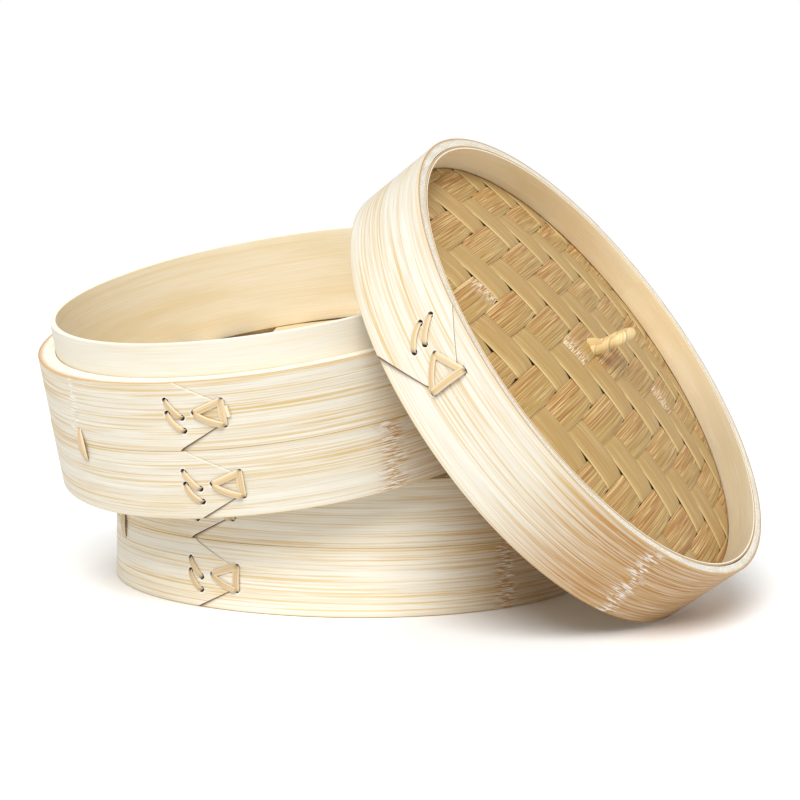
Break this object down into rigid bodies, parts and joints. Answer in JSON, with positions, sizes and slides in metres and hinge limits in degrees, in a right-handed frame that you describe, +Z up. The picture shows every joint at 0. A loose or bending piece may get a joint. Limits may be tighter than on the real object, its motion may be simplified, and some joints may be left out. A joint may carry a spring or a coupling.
{
  "type": "bamboo steamer basket",
  "caption": "Round bamboo steamer with nesting slatted tiers, laced hoops, and a domed woven lid with a loop handle leaning over the stack.",
  "frame": {"origin": "bottom centre of the whole group's bounding box, on the surface it stands on", "axes": "+Z up; +X along the group's longest side, from the stacked tiers towards the leaning lid; the lid's top and the hoops' laps face -Y"},
  "size_m": [0.366, 0.3392, 0.2272],
  "materials": {
    "hoop": "satin bamboo strip with fine fibre streaks",
    "collar": "smooth pale bamboo",
    "lid_lining": "smooth pale bamboo",
    "slat": "split bamboo slats",
    "mat": "woven green-tan and fibrous brown bamboo strips",
    "lacing": "thin split bamboo strip",
    "handle": "twisted bamboo strip"
  },
  "bodies": {
    "lower_tier": {"lower_tier_lower_band": "hoop", "lower_tier_upper_band": "hoop", "lower_tier_inner_hoop": "collar", "lower_tier_floor_bar_1": "slat", "lower_tier_floor_bar_2": "slat", "lower_tier_slat_1": "slat", "lower_tier_slat_2": "slat", "lower_tier_slat_3": "slat", "lower_tier_slat_4": "slat", "lower_tier_slat_5": "slat", "lower_tier_slat_6": "slat", "lower_tier_slat_7": "slat", "lower_tier_slat_8": "slat", "lower_tier_slat_9": "slat", "lower_tier_slat_10": "slat", "lower_tier_slat_11": "slat", "lower_tier_lower_lacing": "lacing", "lower_tier_upper_lacing": "lacing", "lower_tier_seam_tie_1": "lacing", "lower_tier_seam_tie_2": "lacing", "lower_tier_seam_tie_3": "lacing", "lower_tier_seam_tie_4": "lacing"},
    "upper_tier": {"upper_tier_lower_band": "hoop", "upper_tier_upper_band": "hoop", "upper_tier_inner_hoop": "collar", "upper_tier_floor_bar_1": "slat", "upper_tier_floor_bar_2": "slat", "upper_tier_slat_1": "slat", "upper_tier_slat_2": "slat", "upper_tier_slat_3": "slat", "upper_tier_slat_4": "slat", "upper_tier_slat_5": "slat", "upper_tier_slat_6": "slat", "upper_tier_slat_7": "slat", "upper_tier_slat_8": "slat", "upper_tier_slat_9": "slat", "upper_tier_slat_10": "slat", "upper_tier_slat_11": "slat", "upper_tier_lower_lacing": "lacing", "upper_tier_upper_lacing": "lacing", "upper_tier_seam_tie_1": "lacing", "upper_tier_seam_tie_2": "lacing", "upper_tier_seam_tie_3": "lacing", "upper_tier_seam_tie_4": "lacing"},
    "lid": {"lid_band": "hoop", "lid_lower_hoop": "lid_lining", "lid_upper_hoop": "lid_lining", "lid_mat": "mat", "lid_lacing": "lacing"},
    "handle": {"handle": "handle"}
  },
  "joints": [
    {"name": "upper_tier_lift", "type": "slide", "parent": "lower_tier", "child": "upper_tier", "axis": [0, 0, 1], "range_m": [0, 0.12]},
    {"name": "lid_lift", "type": "slide", "parent": "upper_tier", "child": "lid", "axis": [0.7133, -0.3729, 0.5934], "range_m": [0, 0.12]},
    {"name": "handle_bend", "type": "hinge", "parent": "lid", "child": "handle", "pos_m": [0.0957, -0.04616, 0.12681], "axis": [0.3629, 0.9209, 0.1425], "range_deg": [-15, 15]}
  ]
}
